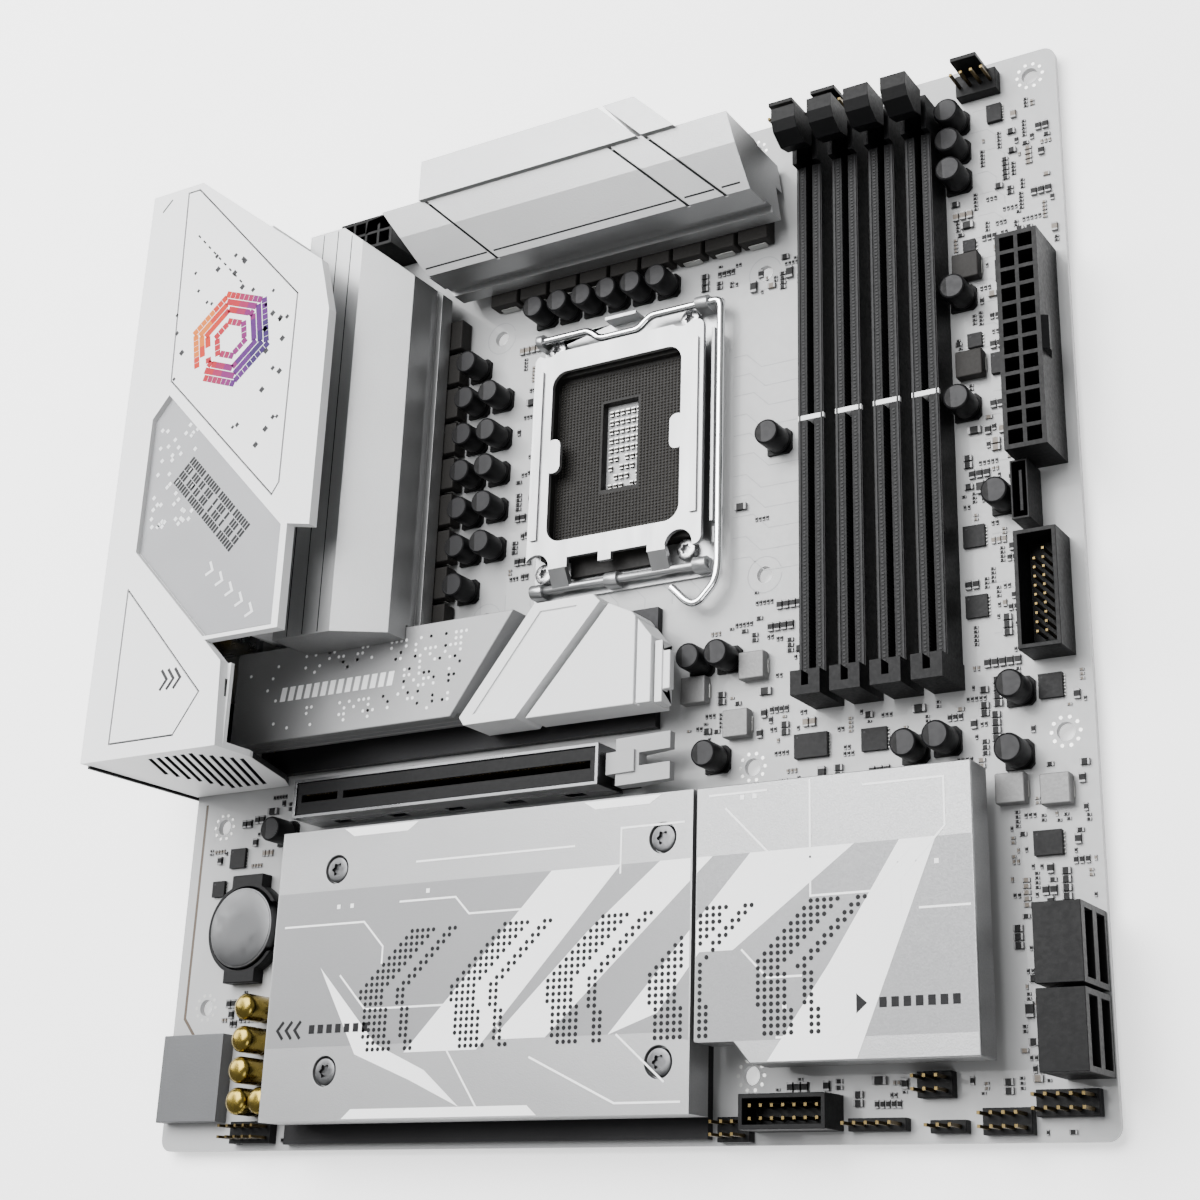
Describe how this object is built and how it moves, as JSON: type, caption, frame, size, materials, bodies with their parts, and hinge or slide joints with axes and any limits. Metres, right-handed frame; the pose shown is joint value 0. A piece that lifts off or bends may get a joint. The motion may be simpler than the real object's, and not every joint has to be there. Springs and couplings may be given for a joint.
{
  "type": "computer motherboard",
  "caption": "Desktop motherboard for a small tower case: carries the processor, memory, graphics card and drives, and links them to power, cooling and rear ports.",
  "frame": {"origin": "centre of the rear mounting hole beside the graphics slot, at the board's solder face", "axes": "+X away from the rear ports, +Y towards the top edge of the board, +Z off the component side"},
  "size_m": [0.2537, 0.2488, 0.0451],
  "materials": {
    "board_white": "white solder mask over glass fibre laminate",
    "socket_plastic": "moulded socket plastic",
    "contact_gold": "gold flashed spring contacts",
    "socket_steel": "nickel plated stamped steel",
    "lever_steel": "bright plated wire",
    "screw_steel": "zinc plated screw",
    "backplate_black": "black coated steel",
    "slot_black": "black moulded slot plastic",
    "key_white": "white moulded plastic",
    "latch_black": "black moulded latch",
    "connector_black": "black nylon connector",
    "pin_gold": "gold plated pin",
    "heatsink_silver": "bead blasted clear anodised aluminium",
    "pad_grey": "soft silicone pad",
    "chip_black": "black epoxy package",
    "choke_grey": "pressed powder choke",
    "capacitor_black": "black sleeved can",
    "cover_white": "matt white paint",
    "plate_grey": "satin grey metal plate",
    "panel_black": "black coated steel panel",
    "port_steel": "nickel plated shell",
    "jack_black": "black moulded jack",
    "antenna_gold": "gold plated coaxial post",
    "button_grey": "moulded button",
    "armor_steel": "stamped steel sleeve",
    "latch_grey": "light grey moulded latch",
    "plate_silver": "fine blasted anodised aluminium",
    "trim_white": "matt white coated metal",
    "base_dark": "dark anodised aluminium",
    "standoff_brass": "brass standoff",
    "battery_steel": "stainless cell can",
    "capacitor_gold": "gold coated aluminium can",
    "shield_grey": "grey coated steel can",
    "solder_tin": "bright solder"
  },
  "bodies": {
    "board": {"pcb": "board_white", "socket_body": "socket_plastic", "socket_contacts": "contact_gold", "ilm_frame": "socket_steel", "ilm_screws": "screw_steel", "socket_backplate": "backplate_black", "dimm_slot_1": "slot_black", "dimm_slot_2": "slot_black", "dimm_slot_3": "slot_black", "dimm_slot_4": "slot_black", "dimm_keys": "key_white", "atx_power_socket": "connector_black", "eps_power_socket": "connector_black", "fan_headers": "connector_black", "connector_pins": "pin_gold", "vrm_heatsink_left": "heatsink_silver", "vrm_heatsink_top": "heatsink_silver", "thermal_pads": "pad_grey", "power_stages": "chip_black", "power_chokes": "choke_grey", "solid_capacitors": "capacitor_black", "io_cover": "cover_white", "io_cover_plate": "plate_grey", "io_shield": "panel_black", "usb_ports": "port_steel", "display_ports": "port_steel", "lan_port": "port_steel", "audio_jacks": "jack_black", "antenna_connectors": "antenna_gold", "button_housings": "jack_black", "pcie_slot": "slot_black", "pcie_armor": "armor_steel", "m2_top_heatsink": "plate_silver", "m2_top_bar": "trim_white", "m2_top_end_cap": "trim_white", "m2_lower_heatsink": "plate_silver", "m2_base_plate": "base_dark", "m2_screws": "screw_steel", "m2_standoffs": "standoff_brass", "m2_sockets": "connector_black", "chipset_heatsink": "plate_silver", "chips": "chip_black", "battery": "battery_steel", "battery_holder": "jack_black", "audio_capacitors": "capacitor_gold", "audio_shield": "shield_grey", "sata_ports": "connector_black", "pin_headers": "connector_black", "support_legs": "solder_tin", "solder_joints": "solder_tin"},
    "load_plate": {"load_plate": "socket_steel"},
    "load_lever": {"load_lever": "lever_steel"},
    "dimm_latch_1": {"dimm_latch_1": "latch_black"},
    "dimm_latch_2": {"dimm_latch_2": "latch_black"},
    "dimm_latch_3": {"dimm_latch_3": "latch_black"},
    "dimm_latch_4": {"dimm_latch_4": "latch_black"},
    "pcie_latch": {"pcie_latch": "latch_grey"},
    "m2_release_latch": {"m2_release_latch": "trim_white"},
    "flash_button": {"flash_button": "button_grey"},
    "clear_cmos_button": {"clear_cmos_button": "button_grey"}
  },
  "joints": [
    {"name": "load_lever_hinge", "type": "hinge", "parent": "board", "child": "load_lever", "pos_m": [0.11884, 0.11633, 0.00577], "axis": [-1, 0, 0], "range_deg": [0, 125]},
    {"name": "load_plate_hinge", "type": "hinge", "parent": "board", "child": "load_plate", "pos_m": [0.11884, 0.04883, 0.00457], "axis": [1, 0, 0], "range_deg": [0, 100]},
    {"name": "dimm_latch_1_hinge", "type": "hinge", "parent": "board", "child": "dimm_latch_1", "pos_m": [0.17404, 0.15033, 0.00507], "axis": [-1, 0, 0], "range_deg": [0, 22]},
    {"name": "dimm_latch_2_hinge", "type": "hinge", "parent": "board", "child": "dimm_latch_2", "pos_m": [0.18344, 0.15033, 0.00507], "axis": [-1, 0, 0], "range_deg": [0, 22]},
    {"name": "dimm_latch_3_hinge", "type": "hinge", "parent": "board", "child": "dimm_latch_3", "pos_m": [0.19284, 0.15033, 0.00507], "axis": [-1, 0, 0], "range_deg": [0, 22]},
    {"name": "dimm_latch_4_hinge", "type": "hinge", "parent": "board", "child": "dimm_latch_4", "pos_m": [0.20224, 0.15033, 0.00507], "axis": [-1, 0, 0], "range_deg": [0, 22]},
    {"name": "pcie_latch_hinge", "type": "hinge", "parent": "board", "child": "pcie_latch", "pos_m": [0.12464, 0.00198, 0.00457], "axis": [0, 1, 0], "range_deg": [0, 10], "stiffness_Nm_per_rad": 0.05, "springref_deg": -2.86},
    {"name": "m2_release_slide", "type": "slide", "parent": "board", "child": "m2_release_latch", "axis": [1, 0, 0], "range_m": [0, 0.0015], "stiffness_N_per_m": 300, "springref_m": -0.0005},
    {"name": "flash_button_press", "type": "slide", "parent": "board", "child": "flash_button", "axis": [1, 0, 0], "range_m": [0, 0.0008], "stiffness_N_per_m": 500, "springref_m": -0.0008},
    {"name": "clear_cmos_button_press", "type": "slide", "parent": "board", "child": "clear_cmos_button", "axis": [1, 0, 0], "range_m": [0, 0.0008], "stiffness_N_per_m": 500, "springref_m": -0.0008}
  ],
  "couplings": [
    {"joint": "load_plate_hinge", "follows": "load_lever_hinge", "ratio": 0.8}
  ]
}
